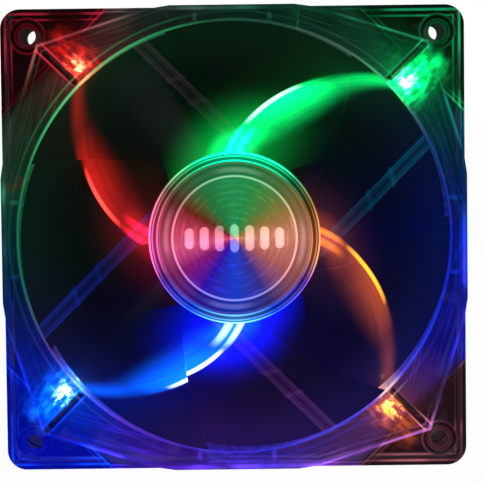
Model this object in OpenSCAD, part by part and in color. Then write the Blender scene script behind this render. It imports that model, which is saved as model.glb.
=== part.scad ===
// Case fan with a clear frame, a seven-blade impeller, a brushless motor and
// four coloured corner lights.
// Each piece is drawn with the fan axis along Z, the exhaust face at z = 0 and
// the intake face at z = frame_d. stand_up() then sets the fan on its edge:
// the intake faces -Y, +Z is up and the origin is under the middle of the frame.

/* [Frame] */
// Width across the side flats
frame_w = 120; // [112:1:150]
// Depth from exhaust face to intake face
frame_d = 25; // [24:0.5:38]
// From the bore to a side flat
side_wall = 3.8; // [3.4:0.1:5]
// Wall of the duct tube
duct_wall = 1.8; // [1.4:0.1:2.2]
// Thickness of the flange plates and flares
skin = 1.5; // [1.2:0.1:1.8]
// Thickness of the skirts under the flange plates
skirt_t = 1.2; // [1:0.1:1.5]
// How far the side flats stand proud of the flange edges
flat_rise = 0.6; // [0.3:0.1:0.8]
// Half the length of a side flat
flat_half = 16; // [13:0.5:18]
// Radius of the frame's corners
corner_r = 5; // [3:0.5:6]
// Depth of the skirts and screw bosses
ear_depth = 4.2; // [3.4:0.1:5]
// From the fan axis to the rib across an ear
ear_rib_at = 64.7; // [63:0.1:67]
// Depth of the panel sunk in each ear
panel_depth = 0.5; // [0.3:0.1:0.7]
// Depth of the flare at each end of the duct
flare_h = 5.5; // [4.5:0.1:6.5]
// Lean of the flare's straight edges from the frame's sides, in degrees
flare_lean = 17.5; // [15:0.5:19]
// From a screw hole's axis to the flare's tip
flare_to_hole = 3.7; // [3:0.1:4.5]

/* [Screw holes] */
// From the flange edge to a screw hole's axis
hole_inset = 6.9; // [6:0.1:8]
// Diameter of the screw holes
hole_d = 4.3; // [3.4:0.1:5]
// Outer diameter of the screw bosses
boss_d = 9; // [7:0.1:10]
// Diameter of the seat ring around each hole
seat_d = 6.2; // [5.6:0.1:6.8]

/* [Struts and motor base] */
// Thickness of the motor base plate
base_t = 1.8; // [1.5:0.1:2.2]
// Height of the motor base rim
base_h = 4.2; // [3.9:0.1:4.6]
// Wall of the motor base rim
base_rim = 1.2; // [1:0.1:1.6]
// How much smaller the motor base is than the hub, on the radius
base_step = 0.7; // [0.2:0.1:1.5]
// Width of a strut
strut_w = 3.4; // [3:0.1:4.4]
// Depth of a strut
strut_d = 3.6; // [3.2:0.1:4]
// From the motor base's edge to a strut's centre line
strut_inset = 2.9; // [2.4:0.1:3.4]

/* [Impeller] */
// Number of blades
blade_count = 7; // [5:1:9]
// Clearance from a blade's tip to the duct
tip_gap = 0.8; // [0.6:0.1:2]
// Outer radius of the hub
hub_r = 22.2; // [20:0.1:27]
// Wall of the hub
hub_wall = 1.5; // [1.2:0.1:1.8]
// Thickness of the hub's face
hub_face = 1.6; // [1.4:0.1:2]
// From the intake face down to the hub's face
hub_recess = 0.7; // [0.3:0.1:1.2]
// Clearance between the hub and the motor base rim
rotor_gap = 0.8; // [0.5:0.1:1]
// From the intake face down to the blades' leading edges
blade_top_gap = 3.6; // [2.6:0.1:5]
// From the motor base rim up to the blades' trailing edges
blade_low_gap = 1.5; // [1.1:0.1:2.5]
// Thickest part of a blade
blade_t = 1.5; // [1.2:0.1:1.8]
// How far each blade reaches over the next, in degrees
blade_overlap = 3.6; // [-6:0.1:5]
// Forward sweep, in radians for each e-fold of radius
blade_sweep = 0.55; // [0.2:0.01:0.6]
// Share by which the blade is steeper at its trailing edge
blade_camber = 0.62; // [0.2:0.01:0.8]

/* [Motor] */
// Shaft diameter
shaft_d = 3; // [2:0.1:4]
// Running clearance around the shaft, on the radius
shaft_fit = 0.03; // [0.01:0.01:0.08]
// Outer diameter of the sleeve bearing
bearing_d = 7; // [6:0.1:8]
// Wall of the bearing tube
tube_wall = 1.2; // [1:0.1:1.6]
// Wall of the steel rotor cup
yoke_t = 0.9; // [0.7:0.1:1.1]
// Thickness of the ring magnet
magnet_t = 2.6; // [2:0.1:3.2]
// Air gap between the magnet and the stator
air_gap = 0.4; // [0.3:0.05:0.6]
// Height of the stator's steel stack
stack_h = 6; // [4:0.5:6.5]
// Width of a stator arm
arm_w = 3.4; // [2.6:0.1:4]
// Thickness of the circuit board
board_t = 1; // [0.8:0.1:1.2]

/* [Lights] */
// Diameter of a lamp's body
led_d = 3; // [2.8:0.1:3.2]
// Length of a lamp's body
led_len = 5.3; // [4.8:0.1:5.6]
// From a corner's diagonal to the lamp's axis
led_offset = 2.75; // [2.7:0.05:3]
// Thickness of the wall on each corner's diagonal
web_t = 1.6; // [1.2:0.1:1.7]
// Wire diameter over its insulation
wire_d = 0.8; // [0.6:0.05:0.9]

/* [Hidden] */
$fn = 96;
eps = 0.02;
past = 1;                                   // how far a cut runs past a face

// Frame
duct_r = frame_w / 2 - side_wall;
duct_out = duct_r + duct_wall;
ear_half = frame_w / 2 - flat_rise;
hole_at = ear_half - hole_inset;
hole_diag = hole_at * sqrt(2);
flare_tip = (hole_diag - flare_to_hole) / sqrt(2);
flare_r = hole_diag - flare_to_hole + 0.3;  // cone radius at the face, just past the tips
flare_side = frame_w / 2 - skirt_t;
rib_at = min(ear_rib_at + (frame_w - 120) / sqrt(2), hole_diag - boss_d / 2 - skirt_t);
side_rib_at = 9.7;
side_ramp = 4;                              // length of the slope at each end of a side flat
panel_edge = 2.8;                           // flange edge to the sunk panel
mid_d = frame_d / 2;

// Motor base and struts
base_r = hub_r - base_step;
strut_at = base_r - strut_inset;
strut_end = (hole_diag - flare_to_hole) - strut_at / tan(45 + flare_lean) + skin / 2;
groove_w = 2 * wire_d + 0.4;
groove_d = strut_d - 1.2;
wire_z = 1.4;
wire_hole_at = strut_end - 3.3;
clip_at = [base_r + 14.5, base_r + 22];     // radii of the clips that hold the wires in
clip_l = 1.6;
clip_t = 0.6;
label_t = 0.2;
label_recess = 0.3;
rear_label_r = base_r - strut_inset - groove_w / 2 - wire_d - 0.6;

// Bearing and shaft
shaft_r = shaft_d / 2;
bearing_r = bearing_d / 2;
tube_r = bearing_r + tube_wall;
plug_z = [0.4, 1.4];
shaft_z0 = 1.6;
clip_z = [2, 2.5];
groove_r = shaft_r - 0.3;                   // shaft groove for the retaining clip
bearing_z = [3, frame_d - 9.5];
oil_t = 0.6;
tube_top = frame_d - 7.5;

// Rotor
tip_r = duct_r - tip_gap;
hub_z0 = base_h + rotor_gap;
hub_z1 = frame_d - hub_recess;
hub_in = hub_r - hub_wall;
hub_under = hub_z1 - hub_face;
shoulder_r = 1.5;
hub_label_r = hub_r - 2.4;
boss_r = shaft_r + 3;
shaft_z1 = hub_under + 0.5;
yoke_z0 = hub_z0 + 1;
magnet_z0 = yoke_z0 + 0.6;
magnet_r = hub_in - yoke_t;
magnet_in = magnet_r - magnet_t;
magnet_h = 12;

// Stator and board
stator_r = magnet_in - air_gap;
shoe_t = 1.4;
core_z0 = (magnet_z0 + magnet_z0 + magnet_h) / 2 - stack_h / 2 - 0.6;
bobbin_t = 1;
coil_t = 2;                                 // winding thickness over the bobbin
core_ring = tube_r + 2.4;
board_gap = 0.8;
board_z = base_t + board_gap;
board_r = base_r - base_rim - 0.3;
board_top = board_z + board_t;

// Blades
blade_z0 = base_h + blade_low_gap;
blade_z1 = frame_d - blade_top_gap;
blade_root = hub_r - hub_wall / 2;
blade_rows = 8;
blade_cols = 8;
tip_trim = 1.3;                             // how much lower the blade is at its tip, each edge

// Lamps: each corner is worked in a frame turned onto its diagonal, where x runs
// outwards, and the lamp and strut lie clockwise of the diagonal, at negative y.
led_r = led_d / 2;
led_tip = duct_r + 0.35;
led_rim_r = led_r + 0.3;
led_rim_t = 1;
led_back = led_tip + led_len;
socket_r = led_r + 1.35;
socket_end = led_back - led_rim_t;
led_fit = 0.05;
pin_w = 0.5;
pin_l = 3;
pin_pitch = 2.54;
pin_end = led_back + pin_l;
sleeve_r = wire_d / 2 + 0.2;
sleeve_l = 2.2;
CORNERS = [45, 135, 225, 315];              // green, red, blue and amber lamp

// Route of a lamp's wires beside the duct, as [outwards, clockwise, height] steps
// from the end of a pin towards the mouth of the strut's groove.
WIRE_RUN = [[1.9, 0.9, -0.2], [2.2, 3, -0.7], [0.9, 5.8, -1.3], [-1.3, 9, -1.9], [-3.2, 12, -2.6]];

function smooth(a, b, c, d, t) = 0.5 * ((2 * b) + (c - a) * t + (2 * a - 5 * b + 4 * c - d) * t * t
                                        + (3 * b - a - 3 * c + d) * t * t * t);
// Each stretch between two points as steps of a curve through all the points.
function curve(p, steps) = let (last = len(p) - 1) concat(
    [for (i = [0 : last - 1], k = [0 : steps - 1])
        smooth(p[max(i - 1, 0)], p[i], p[i + 1], p[min(i + 2, last)], k / steps)],
    [p[last]]);
function unit(v) = v / norm(v);
function heading(p, i) = unit(p[min(i + 1, len(p) - 1)] - p[max(i - 1, 0)]);
function across(v, t) = unit(v - (v * t) * t);
// A sideways direction at every point of a path, carried along it without twist.
function sideways(p) = [for (i = 0, s = across([0.1, 1, 0.2], heading(p, 0)); i < len(p);
                             i = i + 1, s = i < len(p) ? across(s, heading(p, i)) : s) s];
function ring_at(p, i, side, r, sides) =
    let (up = cross(side, heading(p, i)))
    [for (k = [0 : sides - 1]) p[i] + r * (cos(360 * k / sides) * side + sin(360 * k / sides) * up)];

module stand_up() {
    translate([0, frame_d / 2, frame_w / 2]) rotate([90, 0, 0]) children();
}

module at_corners(turns = CORNERS) {
    for (a = turns) rotate([0, 0, a]) children();
}

module ring(r_out, r_in, z0, z1) {
    difference() {
        translate([0, 0, z0]) cylinder(r = r_out, h = z1 - z0);
        translate([0, 0, z0 - past]) cylinder(r = r_in, h = z1 - z0 + 2 * past);
    }
}

// A closed skin over rings of points that all have the same count, each listed
// clockwise as seen from the far end.
module loft(rings) {
    n = len(rings[0]);
    last = len(rings) - 1;
    points = [for (row = rings, p = row) p];
    sides = [for (i = [0 : last - 1], k = [0 : n - 1]) each let (a = i * n + k, b = i * n + (k + 1) % n)
             [[a, b, b + n], [a, b + n, a + n]]];
    // An end is closed by strips between opposite points, so that a curved end stays true.
    strips = [for (k = [0 : n / 2 - 1]) each let (a = k, b = n - 1 - k) [[a, a + 1, b], [a + 1, b - 1, b]]];
    caps = [for (f = strips) if (f[0] != f[1] && f[1] != f[2] && f[0] != f[2]) f];
    polyhedron(points, concat(sides, [for (f = caps) [f[2], f[1], f[0]]],
                              [for (f = caps) [for (v = f) v + last * n]]));
}

module cord(points, r, sides = 8) {
    side = sideways(points);
    loft([for (i = [0 : len(points) - 1]) ring_at(points, i, side[i], r, sides)]);
}

// ---- Frame ----

module rounded_plate(half, r, t) {
    linear_extrude(t) {
        square([2 * half, 2 * (half - r)], center = true);
        square([2 * (half - r), 2 * half], center = true);
        for (x = [-1, 1], y = [-1, 1]) translate([x * (half - r), y * (half - r)]) circle(r);
    }
}

// The flare's outline seen from the intake, grown by a wall.
module flare_outline(side, grow) {
    tip = flare_tip + grow / cos(45 - flare_lean) / sqrt(2);
    run = tip - (side - tip) / tan(flare_lean);
    corner = [[side, run], [tip, tip], [run, side]];
    polygon([for (a = [0 : 90 : 270], p = corner) [p.x * cos(a) - p.y * sin(a), p.x * sin(a) + p.y * cos(a)]]);
}

module flare_cavity() {
    slope = (flare_r - duct_r) / flare_h;
    intersection() {
        translate([0, 0, frame_d - flare_h - past]) linear_extrude(flare_h + 2 * past)
            flare_outline(flare_side, 0);
        translate([0, 0, frame_d - flare_h])
            cylinder(r1 = duct_r, r2 = flare_r + slope * past, h = flare_h + past);
    }
}

module flare_body() {
    slope = (flare_r - duct_r) / flare_h;
    low = flare_h + skin + 0.2;
    intersection() {
        translate([0, 0, frame_d - low]) linear_extrude(low) flare_outline(ear_half, skirt_t);
        translate([0, 0, frame_d - low]) cylinder(r1 = duct_r, r2 = duct_r + slope * low, h = low);
    }
}

module ear_zone() {
    reach = ear_half * sqrt(2);
    rotate([0, 0, 45]) translate([rib_at, -reach, frame_d - ear_depth])
        cube([reach, 2 * reach, ear_depth]);
}

module ear_skirt() {
    intersection() {
        difference() {
            translate([0, 0, frame_d - ear_depth]) rounded_plate(ear_half, corner_r, ear_depth);
            translate([0, 0, frame_d - ear_depth - past])
                rounded_plate(ear_half - skirt_t, corner_r - skirt_t, ear_depth + 2 * past);
        }
        ear_zone();
    }
    reach = ear_half * sqrt(2) - rib_at - skirt_t;
    rotate([0, 0, 45]) translate([rib_at, -reach, frame_d - ear_depth])
        cube([skirt_t, 2 * reach, ear_depth]);
}

module ear_panel() {
    near = ear_half - panel_edge;
    leg = rib_at * sqrt(2) + skirt_t - near;
    translate([0, 0, frame_d - panel_depth]) linear_extrude(panel_depth + past)
        difference() {
            polygon([[leg, near], [near, near], [near, leg]]);
            translate([hole_at, hole_at]) circle(d = boss_d);
        }
}

module side_flat() {
    in = ear_half - skirt_t;
    flat = frame_w / 2;
    translate([0, 0, frame_d - ear_depth]) linear_extrude(ear_depth)
        polygon([[-flat_half - side_ramp, in], [-flat_half - side_ramp, ear_half], [-flat_half, flat],
                 [flat_half, flat], [flat_half + side_ramp, ear_half], [flat_half + side_ramp, in]]);
    for (x = [-1, 1]) translate([x * side_rib_at - skirt_t / 2, duct_r + duct_wall / 2, 0])
        cube([skirt_t, in + skirt_t / 2 - duct_r - duct_wall / 2, frame_d]);
}

module flange() {
    translate([0, 0, frame_d - skin]) rounded_plate(ear_half, corner_r, skin);
    flare_body();
    for (a = [0 : 90 : 270]) rotate([0, 0, a]) {
        ear_skirt();
        side_flat();
        translate([hole_at, hole_at, frame_d - ear_depth]) cylinder(d = boss_d, h = ear_depth);
    }
}

module flange_cuts() {
    flare_cavity();
    for (a = [0 : 90 : 270]) rotate([0, 0, a]) {
        ear_panel();
        translate([hole_at, hole_at, frame_d - ear_depth - past]) cylinder(d = hole_d, h = ear_depth + 2 * past);
        translate([hole_at, hole_at, frame_d - panel_depth]) cylinder(d = seat_d, h = panel_depth + past);
    }
}

// The same shape at the intake end and, turned over, at the exhaust end.
module both_ends() {
    children();
    translate([0, 0, frame_d]) mirror([0, 0, 1]) children();
}

module corner_wall_and_socket() {
    translate([duct_r + duct_wall / 2, -web_t / 2, skin]) cube([hole_diag - boss_d / 2 - duct_r - duct_wall / 2 + 0.6, web_t, frame_d - 2 * skin]);
    translate([duct_r + 0.2, -led_offset, mid_d]) rotate([0, 90, 0])
        cylinder(r = socket_r, h = socket_end - duct_r - 0.2);
}

module strut() {
    start = sqrt(base_r * base_r - strut_at * strut_at) - 2.5;
    difference() {
        translate([start, -strut_at - strut_w / 2, 0]) cube([strut_end - start, strut_w, strut_d]);
        translate([0, 0, base_t]) cylinder(r = base_r - base_rim, h = strut_d);
    }
}

module strut_groove() {
    start = strut_groove_start();
    translate([start, -strut_at - groove_w / 2, -past]) cube([wire_hole_at - start, groove_w, groove_d + past]);
    translate([wire_hole_at - groove_w / 2 - 0.8, -strut_at - groove_w / 2, -past])
        cube([groove_w + 1, groove_w, flare_h + skin + 2 * past]);
}

module strut_clips() {
    for (r = clip_at) translate([sqrt(r * r - strut_at * strut_at) - clip_l / 2, -strut_at - groove_w / 2 - 0.2, 0])
        cube([clip_l, groove_w + 0.4, clip_t]);
}

function strut_groove_start() = sqrt(pow(base_r - base_rim, 2) - strut_at * strut_at) - 4.5;

module motor_base() {
    cylinder(r = base_r, h = base_t);
    ring(base_r, base_r - base_rim, 0, base_h);
    cylinder(r = tube_r, h = tube_top);
    at_corners() translate([tube_r + 5, 5, base_t - eps]) cylinder(r = 1.4, h = board_gap + eps);
}

module frame_housing() color([0.10, 0.12, 0.14]) stand_up() {
    frame_moulding();
    at_corners() strut_clips();
}

module frame_moulding() difference() {
    union() {
        difference() {
            union() {
                cylinder(r = duct_out, h = frame_d);
                both_ends() flange();
                at_corners() corner_wall_and_socket();
            }
            translate([0, 0, -past]) cylinder(r = duct_r, h = frame_d + 2 * past);
            both_ends() flange_cuts();
            at_corners() translate([duct_r - past, -led_offset, mid_d]) rotate([0, 90, 0])
                cylinder(r = led_r + led_fit, h = socket_end - duct_r + 2 * past);
        }
        motor_base();
        at_corners() strut();
    }
    at_corners() strut_groove();
    translate([0, 0, -past]) cylinder(r = bearing_r, h = tube_top + 2 * past);
    translate([0, 0, -past]) cylinder(r = rear_label_r + 0.1, h = label_recess + past);
}

// ---- Fixed motor parts ----

module rear_label() color("silver") stand_up() ring(rear_label_r, bearing_r - 0.5, label_recess - label_t, label_recess);

module bearing_plug() color("dimgray") stand_up()
    translate([0, 0, plug_z[0]]) cylinder(r = bearing_r, h = plug_z[1] - plug_z[0]);

module sleeve_bearing() color("peru") stand_up()
    ring(bearing_r, shaft_r + shaft_fit, bearing_z[0], bearing_z[1]);

module oil_ring() color("white") stand_up()
    ring(bearing_r, shaft_r + 0.15, bearing_z[1], bearing_z[1] + oil_t);

module circuit_board() color("darkgreen") stand_up() ring(board_r, tube_r + 0.3, board_z, board_top);

module on_board(angle, r, size) {
    rotate([0, 0, angle]) translate([r - size.x / 2, -size.y / 2, board_top]) cube(size);
}

module hall_sensor() color([0.1, 0.1, 0.1]) stand_up() on_board(90, magnet_in + magnet_t / 2 - 0.6, [1.6, 3, 1.2]);

module driver_chip() color([0.1, 0.1, 0.1]) stand_up() on_board(180, (tube_r + board_r) / 2, [4, 5, 1.5]);

module capacitor() color("tan") stand_up() on_board(270, (tube_r + board_r) / 2, [2, 3.2, 1.3]);

module resistors() color("black") stand_up() for (a = CORNERS) on_board(a - 12, board_r - 2.6, [1.2, 2, 0.5]);

// One stator layer: the ring on the bearing tube, four arms and, if asked for, pole shoes.
module stator_layer(arm, shoe) {
    difference() {
        union() {
            circle(core_ring);
            for (a = [0, 90]) rotate(a) square([2 * (stator_r - shoe_t / 2), arm], center = true);
            difference() {
                circle(stator_r);
                circle(stator_r - shoe);
                for (a = CORNERS) rotate(a) translate([0, -1.3]) square([stator_r + past, 2.6]);
            }
        }
        circle(tube_r);
    }
}

module stator_core() color("gray") stand_up()
    translate([0, 0, core_z0]) linear_extrude(stack_h) stator_layer(arm_w, shoe_t);

module bobbin(z) {
    stand_up() translate([0, 0, z]) linear_extrude(bobbin_t) stator_layer(arm_w + 0.8, shoe_t - 0.2);
}

module bobbin_front() color("ivory") bobbin(core_z0 + stack_h);

module bobbin_rear() color("ivory") bobbin(core_z0 - bobbin_t);

module coil_windings() color("sienna") stand_up() for (a = [0 : 90 : 270]) rotate([0, 0, a]) {
    inner = core_ring + 0.6;
    w = arm_w + 0.8;
    outer = sqrt(pow(stator_r - shoe_t - 0.15, 2) - pow(w / 2 + coil_t, 2));
    l = outer - inner;
    h = stack_h + 2 * bobbin_t;
    translate([inner + l / 2, 0, core_z0 + stack_h / 2]) difference() {
        cube([l, w + 2 * coil_t, h + 2 * coil_t], center = true);
        cube([l + past, w, h], center = true);
    }
}

// ---- Rotor ----

module hub_profile() {
    s = shoulder_r;
    arc = [for (a = [0 : 15 : 90]) [hub_r - s + s * cos(a), hub_z1 - s + s * sin(a)]];
    polygon(concat(
        [[0, shaft_z1], [shaft_r, shaft_z1], [shaft_r, tube_top + rotor_gap], [boss_r, tube_top + rotor_gap],
         [boss_r, hub_under], [hub_in, hub_under], [hub_in, hub_z0], [hub_r, hub_z0]],
        arc,
        [[hub_label_r + 0.1, hub_z1], [hub_label_r + 0.1, hub_z1 - label_recess], [0, hub_z1 - label_recess]]));
}

// Height of the blade at share u of its chord, from the trailing edge, and v of its span.
function blade_z(u, v) =
    let (z0 = blade_z0 + tip_trim * v * v, z1 = blade_z1 - tip_trim * v * v)
    z0 + (z1 - z0) * ((1 + blade_camber) * u - blade_camber * u * u);
function blade_angle(u, r) =
    (u - 0.5) * (360 / blade_count + blade_overlap) + blade_sweep * ln(r / hub_r) * 180 / PI;
// Half the thickness: round at the leading edge, thin at the trailing edge.
function blade_half(u, v) = blade_t / 2 * (1 - 0.3 * v) * (0.35 + 0.65 * pow(sin(180 * pow(u, 0.75)), 0.6));
function blade_ring(v) =
    let (r = blade_root + (tip_r - blade_root) * v, n = blade_cols,
         side = function (i, sign) let (
             u = i / n, a = blade_angle(u, r), t = sign * blade_half(u, v),
             slope = atan2((blade_z(min(u + 0.01, 1), v) - blade_z(max(u - 0.01, 0), v)),
                           r * PI / 180 * (blade_angle(min(u + 0.01, 1), r) - blade_angle(max(u - 0.01, 0), r))),
             b = a - t * sin(slope) / r * 180 / PI)
             [r * cos(b), r * sin(b), blade_z(u, v) + t * cos(slope)])
    concat([for (i = [0 : n]) side(i, 1)], [for (i = [n : -1 : 0]) side(i, -1)]);

module blade() {
    loft([for (i = [0 : blade_rows]) blade_ring(i / blade_rows)]);
}

module impeller() color([0.10, 0.12, 0.14]) stand_up() {
    rotate_extrude() hub_profile();
    for (k = [0 : blade_count - 1]) rotate([0, 0, 360 * k / blade_count]) blade();
}

module hub_label() color("silver") stand_up()
    translate([0, 0, hub_z1 - label_recess]) cylinder(r = hub_label_r, h = label_t);

module rotor_yoke() color("lightsteelblue") stand_up() {
    ring(hub_in, magnet_r, yoke_z0, hub_under);
    ring(hub_in, boss_r, hub_under - yoke_t, hub_under);
}

module ring_magnet() color([0.2, 0.18, 0.17]) stand_up() ring(magnet_r, magnet_in, magnet_z0, magnet_z0 + magnet_h);

module shaft() color("lightgray") stand_up() difference() {
    translate([0, 0, shaft_z0]) cylinder(r = shaft_r, h = shaft_z1 - shaft_z0);
    ring(shaft_r + past, groove_r, clip_z[0], clip_z[1]);
}

module retaining_clip() color("white") stand_up() difference() {
    ring(bearing_r - 0.8, groove_r, clip_z[0], clip_z[1]);
    translate([0, -0.5, clip_z[0] - past]) cube([bearing_r, 1, past * 3]);
}

// ---- Lamps ----

module led() stand_up() translate([0, -led_offset, mid_d]) rotate([0, 90, 0]) {
    translate([0, 0, led_tip + led_r]) cylinder(r = led_r, h = led_len - led_r);
    translate([0, 0, led_tip + led_r]) sphere(r = led_r);
    translate([0, 0, led_back - led_rim_t]) cylinder(r = led_rim_r, h = led_rim_t);
}

module led_pins() stand_up() for (s = [-1, 1])
    translate([led_back, -led_offset - pin_w / 2, mid_d + s * pin_pitch / 2 - pin_w / 2]) cube([pin_l, pin_w, pin_w]);

// Each sleeve covers the joint of a pin and its wire.
module wire_sleeves() stand_up() for (s = [-1, 1])
    translate([pin_end - sleeve_l + 0.8, -led_offset, mid_d + s * pin_pitch / 2]) rotate([0, 90, 0]) difference() {
        cylinder(r = sleeve_r + 0.2, h = sleeve_l);
        translate([-pin_w / 2, -pin_w / 2, -past]) cube([pin_w, pin_w, sleeve_l - 0.8 + past]);
        translate([0, 0, sleeve_l - 0.8]) cylinder(r = wire_d / 2 + 0.12, h = sleeve_l);
    }

// From the pin along the duct, down into the strut's groove, inwards and up to the board.
function wire_route(s) =
    let (start = [pin_end, -led_offset, mid_d + s * pin_pitch / 2],
         y = -strut_at + s * (wire_d / 2 + 0.08), merge = s * (wire_d / 2 + 0.1 - pin_pitch / 2),
         down = wire_hole_at, inner = strut_groove_start() + wire_d + 0.6, top = flare_h + skin)
    concat([start, start + [0.9, 0, 0]],
           [for (i = [0 : len(WIRE_RUN) - 1]) let (p = WIRE_RUN[i], share = min(1, (i + 1) / 4))
               start + [p.x - (i > 3 ? s * 0.3 : 0), -p.y, p.z + merge * share]],
           [[down + 0.9 - s * 0.45, y + 0.6, top + 1.6 + s * 0.35], [down + 0.2 - s * 0.1, y, top - 0.6], [down, y, 4.2], [down - 0.5, y, 2.6],
            [down - 1.7, y, wire_z + 0.25], [down - 3.6, y, wire_z],
            [(down + inner) / 2, y, wire_z], [inner + 2.4, y, wire_z], [inner + 0.8, y, wire_z + 0.15],
            [inner + 0.15, y, (wire_z + board_z) / 2 + 0.1], [inner, y, board_z]]);

module led_wires() stand_up() for (s = [-1, 1]) cord(curve(wire_route(s), 2), wire_d / 2);

// The lamp pieces are drawn for the corner on +X and turned about the fan's axis.
module at_corner(i) {
    translate([0, 0, frame_w / 2]) rotate([0, -CORNERS[i], 0]) translate([0, 0, -frame_w / 2]) children();
}

frame_housing();
rear_label();
bearing_plug();
sleeve_bearing();
oil_ring();
circuit_board();
hall_sensor();
driver_chip();
capacitor();
resistors();
stator_core();
bobbin_front();
bobbin_rear();
coil_windings();
impeller();
hub_label();
rotor_yoke();
ring_magnet();
shaft();
retaining_clip();
color("lime") at_corner(0) led();  // led_green
color("red") at_corner(1) led();  // led_red
color("blue") at_corner(2) led();  // led_blue
color("orange") at_corner(3) led();  // led_amber
color("silver") at_corner(0) led_pins();  // led_pins_green
color("silver") at_corner(1) led_pins();  // led_pins_red
color("silver") at_corner(2) led_pins();  // led_pins_blue
color("silver") at_corner(3) led_pins();  // led_pins_amber
color("black") at_corner(0) wire_sleeves();  // wire_sleeves_green
color("black") at_corner(1) wire_sleeves();  // wire_sleeves_red
color("black") at_corner(2) wire_sleeves();  // wire_sleeves_blue
color("black") at_corner(3) wire_sleeves();  // wire_sleeves_amber
color("dimgray") at_corner(0) led_wires();  // led_wires_green
color("dimgray") at_corner(1) led_wires();  // led_wires_red
color("dimgray") at_corner(2) led_wires();  // led_wires_blue
color("dimgray") at_corner(3) led_wires();  // led_wires_amber
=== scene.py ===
"""A case fan with a clear frame and four coloured corner lamps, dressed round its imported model."""

import logging
import math
from dataclasses import dataclass
from enum import Enum
from typing import Any, Iterable, Optional, Sequence, Union

import bmesh
import bpy
import numpy as np
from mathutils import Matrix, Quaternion, Vector


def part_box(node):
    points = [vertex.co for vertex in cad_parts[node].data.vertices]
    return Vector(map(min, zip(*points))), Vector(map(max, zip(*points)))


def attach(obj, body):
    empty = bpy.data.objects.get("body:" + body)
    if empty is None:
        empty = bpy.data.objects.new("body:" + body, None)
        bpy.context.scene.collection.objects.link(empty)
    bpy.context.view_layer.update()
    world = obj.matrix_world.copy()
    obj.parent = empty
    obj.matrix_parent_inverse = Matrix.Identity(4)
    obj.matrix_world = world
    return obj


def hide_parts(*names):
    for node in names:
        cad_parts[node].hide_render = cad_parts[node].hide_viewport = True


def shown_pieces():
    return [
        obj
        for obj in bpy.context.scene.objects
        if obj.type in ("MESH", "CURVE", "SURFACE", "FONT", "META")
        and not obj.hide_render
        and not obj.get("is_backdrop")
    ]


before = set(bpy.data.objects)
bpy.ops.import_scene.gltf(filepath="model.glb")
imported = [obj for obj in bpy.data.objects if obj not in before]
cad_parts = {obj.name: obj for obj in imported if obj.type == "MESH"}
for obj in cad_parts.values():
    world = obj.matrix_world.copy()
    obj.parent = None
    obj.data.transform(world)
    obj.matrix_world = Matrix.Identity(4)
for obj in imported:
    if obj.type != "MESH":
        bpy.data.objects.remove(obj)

LOG = logging.getLogger("case_fan")
MM = 0.001
TURN = 2.0 * math.pi
Colour = tuple[float, float, float]
Stops = Sequence[tuple[float, Colour]]


# ---------------------------------------------------------------- shader arithmetic


class Ease(Enum):
    """How a ramp passes from stop to stop."""

    STEP = "CONSTANT"
    STRAIGHT = "LINEAR"
    SMOOTH = "EASE"


class Num:
    """A number inside a shader, with Python's own operators."""

    def __init__(self, sheet: "Sheet", socket: bpy.types.NodeSocket) -> None:
        """Wraps a value socket of a node in sheet."""
        self.sheet = sheet
        self.socket = socket

    def math(self, operation: str, *others: Any, first: Any = None) -> "Num":
        """Adds one Math node.

        Args:
            operation: The Math node's operation.
            others: What follows this number.
            first: What comes before this number, for reflected operators.

        Returns:
            The node's result.
        """
        terms = ([] if first is None else [first]) + [self, *others]
        node = self.sheet.node("ShaderNodeMath", {"operation": operation}, dict(enumerate(terms)))
        return Num(self.sheet, node.outputs[0])

    def __add__(self, other: Any) -> "Num":
        """This plus other."""
        return self.math("ADD", other)

    def __radd__(self, other: Any) -> "Num":
        """Other plus this."""
        return self.math("ADD", other)

    def __sub__(self, other: Any) -> "Num":
        """This minus other."""
        return self.math("SUBTRACT", other)

    def __rsub__(self, other: Any) -> "Num":
        """Other minus this."""
        return self.math("SUBTRACT", first=other)

    def __mul__(self, other: Any) -> "Num":
        """This times other."""
        return self.math("MULTIPLY", other)

    def __rmul__(self, other: Any) -> "Num":
        """Other times this."""
        return self.math("MULTIPLY", other)

    def __truediv__(self, other: Any) -> "Num":
        """This over other."""
        return self.math("DIVIDE", other)

    def __rtruediv__(self, other: Any) -> "Num":
        """Other over this."""
        return self.math("DIVIDE", first=other)

    def __pow__(self, other: Any) -> "Num":
        """This to the power of other."""
        return self.math("POWER", other)

    def size(self) -> "Num":
        """This without its sign."""
        return self.math("ABSOLUTE")

    def root(self) -> "Num":
        """The square root."""
        return self.math("SQRT")

    def least(self, other: Any) -> "Num":
        """The smaller of this and other."""
        return self.math("MINIMUM", other)

    def most(self, other: Any) -> "Num":
        """The larger of this and other."""
        return self.math("MAXIMUM", other)

    def part(self) -> "Num":
        """What is left over a whole number."""
        return self.math("FRACT")

    def rise(self, low: float, high: float) -> "Num":
        """A smooth step: 0 below low, 1 above high, or falling if low is the higher.

        Args:
            low: Where the result is 0.
            high: Where the result is 1.

        Returns:
            The step.
        """
        node = self.sheet.node(
            "ShaderNodeMapRange",
            {"interpolation_type": "SMOOTHSTEP"},
            {"Value": self, "From Min": low, "From Max": high},
        )
        return Num(self.sheet, node.outputs[0])

    def line(self, middle: float, half: float) -> "Num":
        """A soft line: 1 at middle, falling to 0 at half to either side, as 1 minus a square.

        Args:
            middle: Where the line lies.
            half: Half its width.

        Returns:
            The line's strength.
        """
        away = (self - middle) * (1.0 / half)
        return (1.0 - away * away).most(0.0)


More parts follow.
